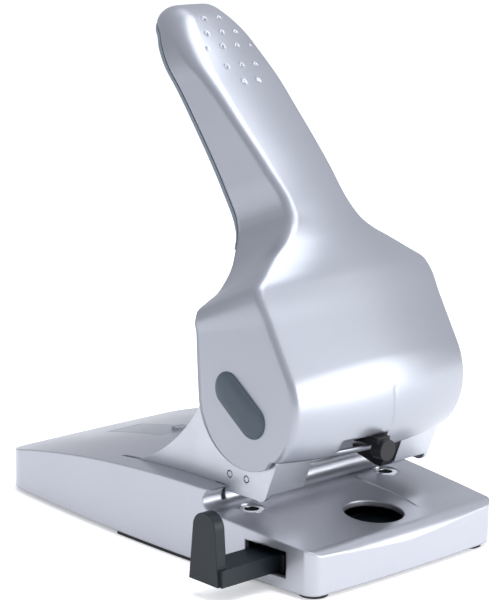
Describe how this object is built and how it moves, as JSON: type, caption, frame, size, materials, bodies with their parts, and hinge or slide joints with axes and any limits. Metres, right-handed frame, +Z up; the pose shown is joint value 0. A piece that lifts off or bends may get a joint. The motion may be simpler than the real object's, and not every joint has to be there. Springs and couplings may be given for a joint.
{
  "type": "two-hole lever punch",
  "caption": "Heavy-duty two-hole desk punch: silver lever drum with a long handle, pins on a cam-driven rod, sliding paper guide, handle lock and emptying door.",
  "frame": {"origin": "on the table plane, straight below the midpoint between the two punched holes", "axes": "+Z up, -Y towards the user and the paper, +X to the right seen from the front, handle leaning towards +Y"},
  "size_m": [0.1432, 0.2032, 0.2226],
  "materials": {
    "silver_paint": "satin metallic paint",
    "frame_paint": "satin metallic paint",
    "grey_plastic": "fine matt",
    "slate_plastic": "semi-matt moulded",
    "black_plastic": "semi-matt moulded",
    "foot_rubber": "matt",
    "bare_steel": "zinc plated",
    "pin_steel": "ground",
    "die_steel": "ground",
    "bronze_bush": "sintered"
  },
  "bodies": {
    "base": {"base_shell": "silver_paint", "bottom_tray": "black_plastic", "tray_screws": "bare_steel", "front_foot_left": "foot_rubber", "front_foot_right": "foot_rubber", "die_bush_left": "die_steel", "die_bush_right": "die_steel", "guide_rail": "black_plastic", "door_pin": "bare_steel", "frame_plate_left": "frame_paint", "frame_plate_right": "frame_paint", "frame_web": "bare_steel", "frame_screws": "bare_steel", "guide_block_left": "bare_steel", "guide_block_right": "bare_steel", "block_screws_left": "bare_steel", "block_screws_right": "bare_steel", "axle_bush_left": "bronze_bush", "axle_bush_right": "bronze_bush", "lock_bracket": "black_plastic", "return_spring_left": "bare_steel", "return_spring_right": "bare_steel"},
    "lever": {"lever_housing": "silver_paint", "handle_cover": "grey_plastic", "lever_arm_left": "bare_steel", "lever_arm_right": "bare_steel", "lever_web": "bare_steel", "web_screws": "bare_steel", "axle": "bare_steel", "side_cap_left": "slate_plastic", "side_cap_right": "slate_plastic"},
    "punches": {"drive_rod": "bare_steel", "rod_clips": "bare_steel", "punch_pin_left": "pin_steel", "punch_pin_right": "pin_steel"},
    "guide": {"paper_guide": "slate_plastic"},
    "door": {"chip_door": "silver_paint"},
    "lock": {"lock_slider": "black_plastic"}
  },
  "joints": [
    {"name": "lever_hinge", "type": "hinge", "parent": "base", "child": "lever", "pos_m": [0, -0.0065, 0.072], "axis": [-1, 0, 0], "range_deg": [0, 44], "stiffness_Nm_per_rad": 1.2, "springref_deg": -25.78},
    {"name": "punch_slide", "type": "slide", "parent": "base", "child": "punches", "axis": [0, 0, -1], "range_m": [0, 0.0112], "deforming": ["return_spring_left", "return_spring_right"]},
    {"name": "guide_slide", "type": "slide", "parent": "base", "child": "guide", "axis": [-1, 0, 0], "range_m": [-0.018, 0.072]},
    {"name": "door_hinge", "type": "hinge", "parent": "base", "child": "door", "pos_m": [0, 0.1286, 0.02158], "axis": [-1, 0, 0], "range_deg": [0, 75]},
    {"name": "lock_slide", "type": "slide", "parent": "lever", "child": "lock", "axis": [-1, 0, 0], "range_m": [0, 0.013]}
  ],
  "couplings": [
    {"joint": "punch_slide", "follows": "lever_hinge", "m_per_rad": 0.0145}
  ]
}
